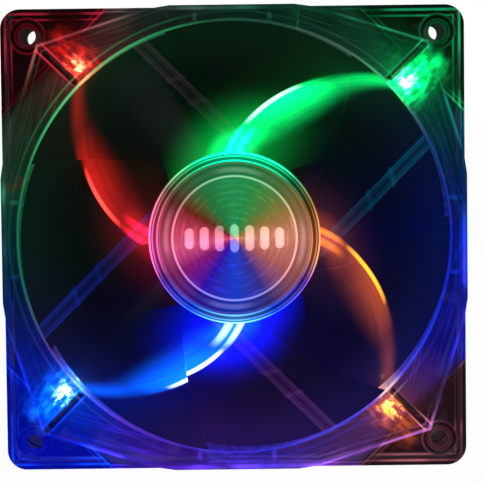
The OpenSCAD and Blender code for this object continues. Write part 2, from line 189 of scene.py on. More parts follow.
class Hue:
    """A colour inside a shader."""

    def __init__(self, sheet: "Sheet", socket: bpy.types.NodeSocket) -> None:
        """Wraps a colour socket of a node in sheet."""
        self.sheet = sheet
        self.socket = socket

    def __mul__(self, other: Any) -> "Hue":
        """The colour made other times as bright."""
        node = self.sheet.node("ShaderNodeVectorMath", {"operation": "SCALE"}, {0: self, "Scale": other})
        return Hue(self.sheet, node.outputs[0])

    __rmul__ = __mul__

    def __add__(self, other: "Hue") -> "Hue":
        """Both colours as added light."""
        node = self.sheet.node("ShaderNodeVectorMath", {"operation": "ADD"}, {0: self, 1: other})
        return Hue(self.sheet, node.outputs[0])


class Sheet:
    """A shader's node tree, emptied, with one method that adds any node."""

    def __init__(self, tree: bpy.types.NodeTree) -> None:
        """Empties the tree and keeps it."""
        self.tree = tree
        tree.nodes.clear()

    def node(
        self, kind: str, settings: Optional[dict] = None, inputs: Optional[dict] = None
    ) -> bpy.types.Node:
        """Adds a node.

        Args:
            kind: The node's type.
            settings: Its own settings, set first; "stops" are a ramp's positions and colours.
            inputs: Socket name or number to a value, a Num, a Hue or a socket.

        Returns:
            The node.
        """
        made = self.tree.nodes.new(kind)
        for key, value in (settings or {}).items():
            if key == "stops":
                self._stops(made.color_ramp, value)
            elif key == "ease":
                made.color_ramp.interpolation = value.value
            else:
                setattr(made, key, value)
        for key, value in (inputs or {}).items():
            link = value.socket if isinstance(value, (Num, Hue)) else value
            if isinstance(link, bpy.types.NodeSocket):
                self.tree.links.new(link, made.inputs[key])
            else:
                made.inputs[key].default_value = link
        return made

    @staticmethod
    def _stops(ramp: bpy.types.ColorRamp, stops: Stops) -> None:
        """Sets a ramp's stops, in order of position.

        Args:
            ramp: The ramp.
            stops: Positions and colours, in order.
        """
        while len(ramp.elements) > 1:
            ramp.elements.remove(ramp.elements[-1])
        for number, (place, colour) in enumerate(stops):
            element = ramp.elements[0] if number == 0 else ramp.elements.new(place)
            element.position = place
            element.color = (*colour, 1.0)

    def ramp(self, factor: Num, stops: Stops, ease: Ease = Ease.STRAIGHT) -> Hue:
        """A colour that a number picks from stops."""
        node = self.node("ShaderNodeValToRGB", {"stops": stops, "ease": ease}, {0: factor})
        return Hue(self, node.outputs[0])

    def mix(self, factor: Num, low: Union[Hue, Colour], high: Union[Hue, Colour]) -> Hue:
        """Passes from low to high as factor goes from 0 to 1.

        Args:
            factor: Where between the two, from 0 to 1.
            low: The colour at 0.
            high: The colour at 1.

        Returns:
            The colour.
        """
        ends = [(*c, 1.0) if isinstance(c, tuple) else c for c in (low, high)]
        node = self.node("ShaderNodeMix", {"data_type": "RGBA"}, {0: factor, 6: ends[0], 7: ends[1]})
        return Hue(self, node.outputs[2])

    def noise(
        self,
        place: bpy.types.NodeSocket,
        scale: float,
        detail: float = 3.0,
        stretch: Sequence[float] = (1.0, 1.0, 1.0),
    ) -> Num:
        """Cloudy noise from 0 to 1 over a place, finer as scale grows.

        Args:
            place: The place that is looked up.
            scale: How fine the noise is.
            detail: How many finer layers it has.
            stretch: What the place is multiplied by first.

        Returns:
            The noise.
        """
        terms = {0: place, 1: tuple(stretch)}
        stretched = self.node("ShaderNodeVectorMath", {"operation": "MULTIPLY"}, terms)
        inputs = {"Vector": stretched.outputs[0], "Scale": scale, "Detail": detail}
        return Num(self, self.node("ShaderNodeTexNoise", None, inputs).outputs[0])

    def place(self, x: Any, y: Any, z: Any) -> bpy.types.NodeSocket:
        """A place put together from three numbers."""
        return self.node("ShaderNodeCombineXYZ", None, {0: x, 1: y, 2: z}).outputs[0]

    def relief(self, height: Num, depth: float) -> bpy.types.NodeSocket:
        """A normal bent by a height field, depth in metres."""
        node = self.node("ShaderNodeBump", None, {"Height": height, "Strength": 1.0, "Distance": depth})
        return node.outputs[0]


def scaled(colour: Colour, share: float) -> Colour:
    """A fixed colour made share times as bright."""
    return tuple(c * share for c in colour)


class Face:
    """Where a shaded point lies on the fan's front, in millimetres from the axis."""

    def __init__(self, sheet: Sheet, across: Num, up: Num) -> None:
        """Works out the point's polar place.

        Args:
            sheet: The shader.
            across: Distance to the right of the axis.
            up: Distance above the axis.
        """
        self.sheet = sheet
        self.across = across
        self.up = up
        self.radius = (across * across + up * up).root()
        self.turn = (up.math("ARCTAN2", across) * (1.0 / TURN) + 1.0).part()
        self.long = across.size().most(up.size())
        self.short = across.size().least(up.size())

    def quarters(self, colours: Sequence[Colour], blend: float = 16.0) -> Hue:
        """One colour to each corner, in the lamps' order, blended where they meet.

        Args:
            colours: The four colours.
            blend: Half the width of the blend, in millimetres.

        Returns:
            The colour.
        """
        right = self.across.rise(-blend, blend)
        top = self.up.rise(-blend, blend)
        green, red, blue, amber = colours
        upper = self.sheet.mix(right, red, green)
        lower = self.sheet.mix(right, blue, amber)
        return self.sheet.mix(top, lower, upper)

    def diagonal(self) -> Num:
        """The point's distance outwards along the nearest corner's diagonal."""
        return (self.long + self.short) * math.sqrt(0.5)

    def off_diagonal(self) -> Num:
        """The point's distance from the nearest corner's diagonal."""
        return (self.long - self.short) * math.sqrt(0.5)

    def along(self, degrees: float) -> tuple[Num, Num]:
        """The point's place in a frame turned by some degrees.

        Args:
            degrees: How far the frame is turned, counter-clockwise from the right.

        Returns:
            Distance outwards and distance counter-clockwise.
        """
        c, s = math.cos(math.radians(degrees)), math.sin(math.radians(degrees))
        return self.across * c + self.up * s, self.up * c - self.across * s


class Skin:
    """A new material with a principled shader on Object coordinates."""

    def __init__(self, name: str, **fixed: Any) -> None:
        """Makes the material.

        Args:
            name: Its name.
            fixed: Values for the shader's sockets, with _ for a space.
        """
        self.material = bpy.data.materials.new(name)
        self.material.use_nodes = True
        self.sheet = Sheet(self.material.node_tree)
        out = self.sheet.node("ShaderNodeOutputMaterial")
        self.shader = self.sheet.node("ShaderNodeBsdfPrincipled")
        self.sheet.tree.links.new(self.shader.outputs[0], out.inputs[0])
        for key, value in fixed.items():
            self.shader.inputs[key.replace("_", " ")].default_value = value
        self.place = self.sheet.node("ShaderNodeTexCoord").outputs["Object"]

    def feed(self, socket: str, value: Union[Num, Hue, bpy.types.NodeSocket]) -> None:
        """Links something that varies to one of the shader's sockets."""
        link = value.socket if isinstance(value, (Num, Hue)) else value
        self.sheet.tree.links.new(link, self.shader.inputs[socket])

    def axes(self) -> list[Num]:
        """The point's X, Y and Z in millimetres."""
        parts = self.sheet.node("ShaderNodeSeparateXYZ", None, {0: self.place})
        return [Num(self.sheet, o) * (1.0 / MM) for o in parts.outputs]

    def face(self, axle_mm: float) -> tuple[Face, Num]:
        """The point's place on the fan's front, and its depth from the middle plane."""
        x, y, z = self.axes()
        return Face(self.sheet, x, z - axle_mm), y

    def put_on(self, *objects: bpy.types.Object) -> None:
        """Gives objects this material alone.

        Args:
            objects: What gets it.
        """
        for obj in objects:
            obj.data.materials.clear()
            obj.data.materials.append(self.material)


# ---------------------------------------------------------------- sizes and lamps


@dataclass(frozen=True)
class Plan:
    """The fan's sizes in millimetres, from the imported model's boxes and the drawing.

    Attributes:
        width: The frame's outer side.
        depth: Its depth along the axle.
        axle: The axle's height above the floor.
        bore: The duct's radius at its throat.
        ear_edge: The ears' outer faces, from the axle.
        hole_at: A screw hole's distance from the axle, both across and up.
        hole_r: A screw hole's radius.
        seat_r: Radius of the seat round it.
        boss_r: Radius of the boss round it.
        flare_tip: Where a flare's slanted edge crosses the diagonal, both across and up.
        flare_side: A flare's outermost edge, from the axle.
        flare_lean: How far the slanted edge leans, in degrees.
        ear_rib: An ear's inner rib, outwards along the diagonal.
        panel_in: How far an ear's panel is set in from its outer face.
        web_t: Thickness of the web beside each lamp.
        side_rib_at: The ribs of each side, from its middle.
        strut_at: A strut's middle line, beside the corner's diagonal.
        strut_w: A strut's width.
        hub: The hub's radius.
        tip: The radius of the blades' tips.
    """

    width: float
    depth: float
    axle: float
    bore: float = 56.2
    ear_edge: float = 59.4
    hole_at: float = 52.5
    hole_r: float = 2.15
    seat_r: float = 3.1
    boss_r: float = 4.5
    flare_tip: float = 49.88
    flare_side: float = 58.8
    flare_lean: float = 17.5
    ear_rib: float = 64.7
    panel_in: float = 2.8
    web_t: float = 1.6
    side_rib_at: float = 9.7
    strut_at: float = 18.6
    strut_w: float = 3.4
    hub: float = 22.2
    tip: float = 56.05

    @classmethod
    def read(cls) -> "Plan":
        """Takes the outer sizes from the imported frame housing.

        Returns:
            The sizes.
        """
        low, high = (np.array(corner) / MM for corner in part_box("frame_housing"))
        width, depth, _ = (float(side) for side in high - low)
        return cls(width=width, depth=depth, axle=float(high[2] + low[2]) / 2.0)


@dataclass(frozen=True)
class Lamp:
    """One corner lamp and the light it gives to what is round it.

    Attributes:
        name: The colour's plain name.
        corner: The corner's angle in degrees, counter-clockwise from the right.
        core: The lens's own light.
        line: The light at moulded edges near it.
        haze: The light in the walls of its corner.
        beam: The light it throws on the blades.
        glint: The hottest line of that light.
        inner: The light where it meets the hub.
        halo: The dim light ahead of it.
        spill: How far the light spreads in the walls, as a share.
    """

    name: str
    corner: float
    core: Colour
    line: Colour
    haze: Colour
    beam: Colour
    glint: Colour
    inner: Colour
    halo: Colour
    spill: float


LAMPS = (
    Lamp("green", 45.0, (0.45, 1.0, 0.70), (0.005, 0.24, 0.08), (0.0003, 0.005, 0.0015),
         (0.001, 0.90, 0.16), (0.42, 1.0, 0.62), (0.004, 1.0, 0.42), (0.0002, 0.40, 0.05), 1.0),
    Lamp("red", 135.0, (1.0, 0.17, 0.07), (0.26, 0.008, 0.022), (0.0045, 0.0004, 0.0010),
         (0.21, 0.004, 0.003), (1.0, 0.05, 0.04), (0.80, 0.006, 0.035), (0.07, 0.001, 0.004), 1.0),
    Lamp("blue", 225.0, (0.55, 0.95, 1.0), (0.002, 0.045, 0.75), (0.0001, 0.0015, 0.27),
         (0.0004, 0.10, 1.0), (0.80, 0.97, 1.0), (0.55, 0.9, 1.0), (0.0, 0.010, 2.2), 1.4),
    Lamp("amber", 315.0, (1.0, 0.52, 0.03), (0.26, 0.07, 0.09), (0.012, 0.004, 0.008),
         (0.16, 0.024, 0.005), (1.0, 0.34, 0.006), (0.60, 0.13, 0.004), (0.04, 0.006, 0.006), 2.0),
)
# How far clockwise of its corner's diagonal each lamp lies, and how far out its middle is.
LAMP_BACK = 2.75
LAMP_R = 59.3


def to_row(x: np.ndarray, y: np.ndarray, z: np.ndarray, plan: Plan) -> np.ndarray:
    """Drawing millimetres to metres in the row frame.

    The drawing has the axle along z, from 0 at the exhaust face to the intake face, so
    row X is x, row Y is half the depth minus z, and row Z is y plus the axle's height.
    """
    return np.stack([x, plan.depth / 2.0 - z, y + plan.axle], axis=-1) * MM


def mesh_object(name: str, points: np.ndarray, faces: np.ndarray) -> bpy.types.Object:
    """A smooth-shaded object at the origin from points and four-cornered faces.

    Args:
        name: The object's name.
        points: Corner points, in metres.
        faces: Four point numbers to each face, or three with the last repeated.

    Returns:
        The object, linked to the scene.
    """
    mesh = bpy.data.meshes.new(name)
    three = faces[:, 2] == faces[:, 3]
    counts = np.where(three, 3, 4)
    keep = np.ones_like(faces, dtype=bool)
    keep[three, 3] = False
    corners = faces[keep]
    mesh.vertices.add(len(points))
    mesh.vertices.foreach_set("co", points.astype(np.float32).ravel())
    mesh.loops.add(len(corners))
    mesh.loops.foreach_set("vertex_index", corners.astype(np.int32))
    mesh.polygons.add(len(faces))
    starts = np.concatenate([[0], np.cumsum(counts)[:-1]])
    mesh.polygons.foreach_set("loop_start", starts.astype(np.int32))
    mesh.update(calc_edges=True)
    mesh.shade_smooth()
    made = bpy.data.objects.new(name, mesh)
    bpy.context.scene.collection.objects.link(made)
    return made


def grid_faces(rows: int, columns: int, flip: bool = False) -> np.ndarray:
    """Faces of a grid of rings: each of its rows is closed, and each joins the next.

    Args:
        rows: Rings of points.
        columns: Points in each ring.
        flip: Whether the faces are turned round.

    Returns:
        Four point numbers to each face.
    """
    i, k = np.meshgrid(np.arange(rows - 1), np.arange(columns), indexing="ij")
    a, b = i * columns + k, i * columns + (k + 1) % columns
    quads = np.stack([a, b, b + columns, a + columns], axis=-1).reshape(-1, 4)
    return quads[:, ::-1] if flip else quads


def lathe(profile: np.ndarray, steps: int, plan: Plan) -> tuple[np.ndarray, np.ndarray]:
    """A closed profile of radius and height turned about the axle.

    Each profile point (r, z) becomes the ring (r cos t, r sin t, z), and the last ring
    joins the first. Rings on the axle are welded by the caller.

    Args:
        profile: Radius and height of each profile point, in millimetres, in order.
        steps: Points round each ring.
        plan: The fan's sizes.

    Returns:
        Points in metres and faces.
    """
    t = np.arange(steps) * TURN / steps
    r, z = profile[:, :1], profile[:, 1:]
    points = to_row(r * np.cos(t), r * np.sin(t), z + 0.0 * t, plan).reshape(-1, 3)
    faces = grid_faces(len(profile) + 1, steps) % (len(profile) * steps)
    return points, faces


def rounded(path: Sequence[tuple[float, float, float]], steps: int = 6) -> np.ndarray:
    """A closed profile with rounded corners.

    Each corner (r, z, radius) is cut back by its radius along both edges, and a
    quadratic curve through the corner joins the cuts.

    Args:
        path: Corners in order.
        steps: Points on each rounded corner.

    Returns:
        The profile's points.
    """
    corners = np.array([[r, z] for r, z, _ in path])
    out = []
    for i, (_, _, radius) in enumerate(path):
        here, before, after = corners[i], corners[i - 1], corners[(i + 1) % len(path)]
        if radius <= 0.0:
            out.append(here[None])
            continue
        a = here + (before - here) / np.linalg.norm(before - here) * radius
        b = here + (after - here) / np.linalg.norm(after - here) * radius
        t = np.linspace(0.0, 1.0, steps)[:, None]
        out.append((1 - t) ** 2 * a + 2 * t * (1 - t) * here + t**2 * b)
    return np.concatenate(out)


def joined(parts: Iterable[tuple[np.ndarray, np.ndarray]]) -> tuple[np.ndarray, np.ndarray]:
    """Several meshes as one set of points and faces.

    Args:
        parts: Points and faces of each mesh.

    Returns:
        The points and faces.
    """
    points, faces, count = [], [], 0
    for p, f in parts:
        points.append(p)
        faces.append(f + count)
        count += len(p)
    return np.concatenate(points), np.concatenate(faces)


def weld(obj: bpy.types.Object, sharp_degrees: float, outwards: bool = True) -> None:
    """Merges an object's doubled points and marks its sharp edges.

    Args:
        obj: The object.
        sharp_degrees: Edges that bend more than this stay sharp.
        outwards: Whether its faces are also turned outwards.
    """
    work = bmesh.new()
    work.from_mesh(obj.data)
    bmesh.ops.remove_doubles(work, verts=work.verts, dist=2e-7)
    bmesh.ops.dissolve_degenerate(work, edges=work.edges, dist=1e-7)
    if outwards:
        bmesh.ops.recalc_face_normals(work, faces=work.faces)
    work.to_mesh(obj.data)
    work.free()
    obj.data.shade_smooth()
    obj.data.set_sharp_from_angle(angle=math.radians(sharp_degrees))


# ---------------------------------------------------------------- finishes


@dataclass(frozen=True)
class ClearWalls:
    """Smoke-tinted clear plastic of the frame, with the lamps' light painted in it as glow.

    RING and FLARE hold shares of the turn, counter-clockwise from the right, with the
    light at the duct's throat and in the flares there.

    Attributes:
        body: The plastic's own colour.
        cover: How much one surface hides of what is behind it.
        edge_light: Strength of the light at moulded edges.
        haze_light: Strength of the light in the walls.
        lamp_light: Strength of the light next to a lamp.
    """

    body: Colour = (0.010, 0.011, 0.013)
    cover: float = 0.87
    edge_light: float = 1.0
    haze_light: float = 1.0
    lamp_light: float = 1.0

    RING = (
        (0.00, (0.003, 0.014, 0.46)), (0.07, (0.010, 0.030, 0.22)), (0.108, (0.06, 0.08, 0.12)),
        (0.118, (0.05, 0.85, 0.34)), (0.132, (0.05, 0.45, 0.18)), (0.15, (0.09, 0.14, 0.12)),
        (0.21, (0.02, 0.06, 0.045)), (0.27, (0.008, 0.08, 0.035)), (0.33, (0.01, 0.45, 0.14)),
        (0.358, (0.10, 0.60, 0.18)), (0.368, (1.0, 0.80, 0.28)), (0.382, (0.04, 0.75, 0.22)),
        (0.45, (0.008, 0.20, 0.06)), (0.54, (0.008, 0.14, 0.065)), (0.585, (0.10, 0.035, 0.10)),
        (0.608, (0.12, 0.10, 0.30)), (0.616, (0.45, 0.95, 1.0)), (0.632, (0.05, 0.10, 0.80)),
        (0.66, (0.12, 0.03, 0.40)), (0.70, (0.03, 0.016, 0.28)), (0.76, (0.02, 0.014, 0.42)),
        (0.83, (0.006, 0.045, 0.72)), (0.862, (0.02, 0.06, 0.90)), (0.870, (1.0, 0.88, 0.80)),
        (0.879, (0.9, 0.6, 0.8)), (0.888, (0.01, 0.07, 0.98)), (0.95, (0.003, 0.02, 0.60)),
        (1.00, (0.003, 0.014, 0.46)),
    )
    FLARE = (
        (0.00, (0.001, 0.008, 0.16)), (0.06, (0.001, 0.018, 0.045)), (0.11, (0.002, 0.050, 0.030)),
        (0.17, (0.004, 0.040, 0.018)), (0.25, (0.003, 0.018, 0.012)), (0.31, (0.014, 0.022, 0.018)),
        (0.36, (0.080, 0.016, 0.018)), (0.41, (0.018, 0.026, 0.013)), (0.47, (0.003, 0.042, 0.024)),
        (0.53, (0.001, 0.012, 0.045)), (0.58, (0.002, 0.006, 0.18)), (0.64, (0.002, 0.014, 0.50)),
        (0.70, (0.050, 0.010, 0.32)), (0.77, (0.025, 0.012, 0.26)), (0.82, (0.070, 0.022, 0.15)),
        (0.88, (0.090, 0.025, 0.12)), (0.92, (0.008, 0.007, 0.28)), (1.00, (0.001, 0.008, 0.16)),
    )

    def material(self, plan: Plan) -> Skin:
        """Builds the material.

        Args:
            plan: The fan's sizes, which place the edges.

        Returns:
            The skin.
        """
        skin = Skin("clear_frame_plastic", IOR=1.49, Specular_IOR_Level=0.30)
        skin.shader.inputs["Emission Strength"].default_value = 1.0
        face, depth = skin.face(plan.axle)
        cloud = skin.sheet.noise(skin.place, 90.0)
        grain = skin.sheet.noise(skin.place, 900.0, 2.0)
        skin.feed("Base Color", skin.sheet.mix(cloud, scaled(self.body, 0.7), scaled(self.body, 1.5)))
        skin.feed("Roughness", 0.10 + 0.14 * cloud)
        in_duct = face.radius.rise(plan.bore + 2.4, plan.bore + 1.9)
        in_duct = in_duct * face.radius.rise(plan.bore - 1.0, plan.bore - 0.4)
        rim = 0.97 * face.long.rise(plan.width / 2 - 2.6, plan.width / 2 - 1.6)
        skin.feed("Alpha", (self.cover + 0.06 * cloud).most(0.97 * in_duct).most(rim))
        skin.feed("Normal", skin.sheet.relief(cloud + 0.2 * grain, 4e-5))
        beside = face.off_diagonal()
        slot = beside.rise(plan.web_t / 2 + 0.15, plan.web_t / 2 - 0.15)
        slot = slot * face.radius.rise(plan.bore + 0.8, plan.bore + 1.2)
        slot = slot * face.radius.rise(plan.ear_rib + 6.4, plan.ear_rib + 5.8)
        inside = self._walls(skin, plan, face, depth, cloud) + self._lamps(skin, face, depth)
        skin.feed("Emission Color", self._edges(skin, plan, face, depth) + inside * (1.0 - 0.9 * slot))
        return skin

    @staticmethod
    def _past_flare(plan: Plan, face: Face) -> Num:
        """How far a point lies outside the flare's slanted edge."""
        lean = math.radians(plan.flare_lean)
        return (face.long - plan.flare_tip) * math.cos(lean) + (face.short - plan.flare_tip) * math.sin(lean)

    def _edges(self, skin: Skin, plan: Plan, face: Face, depth: Num) -> Hue:
        """Light that leaves the plastic at its moulded edges.

        Args:
            skin: The material that is being built.
            plan: The fan's sizes.
            face: The shaded point's place on the fan's front.
            depth: Its depth from the middle plane.

        Returns:
            The light.
        """
        sheet = skin.sheet
        near_face = depth.size().rise(plan.depth / 2 - 1.2, plan.depth / 2 - 0.2)
        outline = self._past_flare(plan, face).most(face.long - plan.flare_side)
        diagonal, beside = face.diagonal(), face.off_diagonal()
        in_ear = diagonal.rise(plan.ear_rib - 0.6, plan.ear_rib + 0.2)
        hole = ((face.long - plan.hole_at) ** 2.0 + (face.short - plan.hole_at) ** 2.0).root()
        clear_of_hole = hole.rise(plan.boss_r - 0.2, plan.boss_r + 0.4)
        rims = face.long.line(plan.ear_edge - 1.25, 0.42)
        rims = rims + 0.6 * face.long.line(plan.ear_edge - plan.panel_in, 0.35)
        rims = rims * in_ear * clear_of_hole
        rib = diagonal.line(plan.ear_rib + 0.1, 0.4) + 0.5 * diagonal.line(plan.ear_rib + 1.2, 0.35)
        rib = rib * clear_of_hole
        rings = 0.20 * hole.line(plan.hole_r + 0.25, 0.35) + 0.16 * hole.line(plan.seat_r, 0.3)
        rings = rings + 0.22 * hole.line(plan.boss_r, 0.35)
        web = 1.3 * beside.line(plan.web_t / 2 + 0.30, 0.32)
        web = web * face.radius.rise(plan.bore + 0.4, plan.bore + 1.4)
        web = web * diagonal.rise(plan.ear_rib + 6.0, plan.ear_rib + 5.0)
        lip = 0.8 * outline.line(0.15, 0.5) + 0.4 * outline.line(-1.3, 0.35)
        sides = face.long.line(plan.width / 2 - 0.5, 0.5) + 0.5 * face.long.line(plan.ear_edge - 0.9, 0.3)
        sides = sides * (1.0 - in_ear)
        # Painted glow along the ear rims, ribs, screw-hole rings and lip, in patches.
        marks = rims + rib * 0.55 + rings + 0.4 * lip * in_ear.rise(-0.2, 0.9)
        marks = marks * (0.2 + 0.8 * near_face) + web
        patches = 0.16 + 1.9 * sheet.noise(skin.place, 60.0, 2.0).rise(0.42, 0.68)
        lines = face.quarters([lamp.line for lamp in LAMPS]) * (marks * patches * self.edge_light)
        throat = 1.7 * face.radius.line(plan.bore + 0.05, 0.62)
        throat = throat * (0.16 + 0.84 * depth.rise(-5.0, -9.5))
        inner = 0.16 * face.radius.line(plan.bore + 2.3, 0.4)
        rings_light = sheet.ramp(face.turn, self.RING) * ((throat + inner) * self.edge_light)
        dots = face.short.line(plan.side_rib_at, 0.8) * face.radius.line(plan.bore + 1.8, 1.4)
        edge = (lip + sides) * (0.25 + 0.75 * near_face) * patches
        return lines + rings_light + sheet.ramp(face.turn, self.FLARE) * (dots * 1.6 + edge * 3.2)

    def _walls(self, skin: Skin, plan: Plan, face: Face, depth: Num, cloud: Num) -> Hue:
        """Dim light inside the walls: streaky in the flares, even in the ears.

        Args:
            skin: The material that is being built.
            plan: The fan's sizes.
            face: The shaded point's place on the fan's front.
            depth: Its depth from the middle plane.
            cloud: The plastic's cloudy noise.

        Returns:
            The light.
        """
        sheet = skin.sheet
        in_ear = face.diagonal().rise(plan.ear_rib - 3.0, plan.ear_rib + 1.0)
        rays = sheet.place(self._past_flare(plan, face) * 1.7, face.turn * 26.0, depth * 0.05)
        streaks = sheet.noise(rays, 1.0, 4.0).rise(0.42, 0.74) ** 2.0
        flare = (0.25 + 0.9 * streaks + 0.75 * cloud) * (1.0 - in_ear)
        flare = sheet.ramp(face.turn, self.FLARE) * flare
        ears = face.quarters([lamp.haze for lamp in LAMPS]) * ((0.35 + 1.3 * cloud) * in_ear)
        behind = 1.0 - 0.65 * depth.rise(-9.0, 6.0)
        return (flare + ears) * (behind * self.haze_light)

    @staticmethod
    def _away(face: Face, depth: Num, lamp: Lamp, out: float, back: float) -> Num:
        """The square of the distance from a point beside a lamp, with depth counted little.

        Args:
            face: The shaded point's place on the fan's front.
            depth: Its depth from the middle plane.
            lamp: The lamp, for its corner.
            out: How far from the axis the point beside it lies.
            back: How far clockwise of the corner's diagonal it lies.

        Returns:
            The square, in square millimetres.
        """
        a = math.radians(lamp.corner)
        across = face.across - (out * math.cos(a) + back * math.sin(a))
        up = face.up - (out * math.sin(a) - back * math.cos(a))
        return across * across + up * up + depth * depth * 0.08

    def _lamps(self, skin: Skin, face: Face, depth: Num) -> Hue:
        """Light next to each lamp: a hot spot of uneven patches that fades outwards.

        Args:
            skin: The material that is being built.
            face: The shaded point's place on the fan's front.
            depth: Its depth from the middle plane.

        Returns:
            The light.
        """
        sheet = skin.sheet
        in_ear = face.diagonal().rise(LAMP_R + 9.0, LAMP_R + 13.0)
        total: Optional[Hue] = None
        for lamp in LAMPS:
            nearer = self._away(face, depth, lamp, LAMP_R + 1.0, LAMP_BACK + 0.4)
            farther = self._away(face, depth, lamp, LAMP_R + 8.4, LAMP_BACK + 1.8)
            near = 1.0 / (1.0 + nearer * (1.0 / 36.0)) ** 2.5
            near = near + 0.8 * (1.0 / (1.0 + farther * (1.0 / 10.0)) ** 2.5)
            far = 1.0 / (1.0 + nearer * (1.0 / 60.0)) ** 2.0
            outward, beside = face.along(lamp.corner)
            grain = sheet.place(outward * 0.35, beside * 0.75, depth * 0.3)
            broken = sheet.noise(grain, 1.0, 3.0).rise(0.30, 0.68) ** 1.6
            side = 0.05 + 0.95 * beside.rise(0.4, -1.0) * beside.rise(-12.0, -6.0)
            strength = near * (0.35 + 1.9 * broken) * side + 0.035 * lamp.spill * far
            hot = (near * broken * side).rise(0.25, 0.75)
            core = sheet.mix(hot, scaled(lamp.beam, 0.8), lamp.core)
            share = core * (strength * (1.0 - 0.9 * in_ear) * (self.lamp_light * 7.0))
            total = share if total is None else total + share
        return total


@dataclass(frozen=True)
class SweptLight:
    """The lamps' light, painted as glow on the impeller in four streaks.

    Each streak runs from a lamp to the hub, sharp on one side and trailing on the other.
    Its angle from the corner's diagonal falls in a straight line as the radius grows. FIELD
    and SHOULDER hold shares of the turn, counter-clockwise from the right, with the light
    painted on the blades and on the hub's edge there; STRUT_GLOW holds, in the lamps' order, the
    colour of the glow painted on the blades where each strut lies behind them.

    Attributes:
        start_r: The radius at which a streak begins at the hub.
        start_turn: The streak's angle there, in degrees.
        unwind: How many degrees it loses to each millimetre outwards.
        hot_r: Where the bright line is brightest.
        hot_half: Half the length of the bright line.
    """

    start_r: float = 23.0
    start_turn: float = 48.5
    unwind: float = 1.37
    hot_r: float = 36.4
    hot_half: float = 7.0

    FIELD = (
        (0.00, (0.0005, 0.003, 0.042)), (0.05, (0.0008, 0.003, 0.022)), (0.10, (0.001, 0.005, 0.008)),
        (0.17, (0.001, 0.009, 0.003)), (0.30, (0.001, 0.007, 0.003)), (0.42, (0.002, 0.006, 0.003)),
        (0.52, (0.001, 0.006, 0.005)), (0.57, (0.003, 0.003, 0.014)), (0.66, (0.001, 0.003, 0.040)),
        (0.73, (0.012, 0.004, 0.055)), (0.80, (0.010, 0.004, 0.045)), (0.86, (0.004, 0.003, 0.038)),
        (0.93, (0.002, 0.003, 0.038)), (1.00, (0.0005, 0.003, 0.042)),
    )
    SHOULDER = (
        (0.00, (0.35, 0.10, 0.04)), (0.06, (0.10, 0.05, 0.01)), (0.12, (0.006, 0.10, 0.04)),
        (0.18, (0.004, 0.62, 0.22)), (0.25, (0.003, 0.90, 0.40)), (0.33, (0.002, 0.34, 0.10)),
        (0.40, (0.10, 0.06, 0.04)), (0.47, (0.60, 0.06, 0.15)), (0.52, (0.70, 0.07, 0.28)),
        (0.58, (0.07, 0.016, 0.18)), (0.66, (0.004, 0.05, 0.70)), (0.75, (0.09, 0.36, 0.90)),
        (0.83, (0.004, 0.04, 0.60)), (0.91, (0.06, 0.02, 0.18)), (0.96, (0.35, 0.12, 0.04)),
        (1.00, (0.35, 0.10, 0.04)),
    )
    # Colours of the glow painted where each strut lies behind the blades, in the lamps' order.
    STRUT_GLOW = ((0.001, 0.040, 0.075), (0.018, 0.012, 0.014), (0.003, 0.010, 0.16), (0.050, 0.012, 0.075))

    def light(self, face: Face, depth: Num, plan: Plan) -> Hue:
        """The light painted over the impeller: dim field, streaks, hub rings and the glow where the struts
        lie behind.

        Args:
            face: The point's place on the fan's front.
            depth: Its depth from the middle plane.
            plan: The fan's sizes.

        Returns:
            The light that leaves the plastic there.
        """
        sheet, r = face.sheet, face.radius
        swirl = ((self.start_turn - self.unwind * (r - self.start_r)) * (1.0 / 360.0)).most(0.0)
        turned = (face.turn - swirl + 1.0).part()
        lead = ((turned * 4.0).part() - 0.5) * 0.25 * TURN * r

        def by_lamp(colours: Sequence[Colour]) -> Hue:
            """The colour of the lamp whose streak is nearest."""
            return sheet.ramp(turned, [(k / 4.0, colour) for k, colour in enumerate(colours)], Ease.STEP)

        spread = 6.6 + 8.0 * r.rise(57.0, 36.0) - 5.0 * r.rise(31.0, 23.0)
        outer = r.rise(38.0, 50.0)
        edge = lead.rise(0.7, -0.6) * (1.0 - outer) + lead.rise(1.4, -4.6) * outer
        tail = (lead / spread + 1.0).rise(0.0, 1.0) ** 1.3 * edge
        halo = (1.0 - lead.size() / 26.0).most(0.0) ** 2.5 * (r.rise(43.0, 24.0) ** 1.6 + 0.03)
        root = (1.0 - lead.size() / 6.5).most(0.0) * r.rise(29.0, 23.5)
        along = 0.42 + 0.60 * r.line(39.0, 9.0) + 0.55 * r.rise(31.0, 24.0) + 0.35 * r.rise(48.0, 56.0)
        # Uneven breaks along the painted streaks.
        streak_breakup = 0.55 + 0.9 * sheet.noise(sheet.place(lead * 0.9, r * 0.10, turned * 40.0), 1.0, 3.0)
        glint = lead.line(-0.35, 0.85) * r.line(self.hot_r, self.hot_half)
        inner = (lead.line(-0.2, 1.1) + 0.8 * lead.line(-3.2, 1.3)) * r.rise(30.5, 25.0)
        streaks = by_lamp([lamp.beam for lamp in LAMPS]) * ((tail * along * streak_breakup + 0.45 * root) * 1.7)
        streaks = streaks + by_lamp([lamp.glint for lamp in LAMPS]) * (glint * 1.6)
        streaks = streaks + by_lamp([lamp.inner for lamp in LAMPS]) * (inner * 1.1)
        streaks = streaks + by_lamp([lamp.halo for lamp in LAMPS]) * (halo * 0.9)
        field = sheet.ramp(face.turn, self.FIELD) * (0.30 + 0.50 * r.rise(40.0, 56.0))
        blades = r.rise(plan.hub - 0.3, plan.hub + 0.3)
        return (streaks + field + self._strut_glow(face, plan)) * blades + self._hub(face, depth, plan)

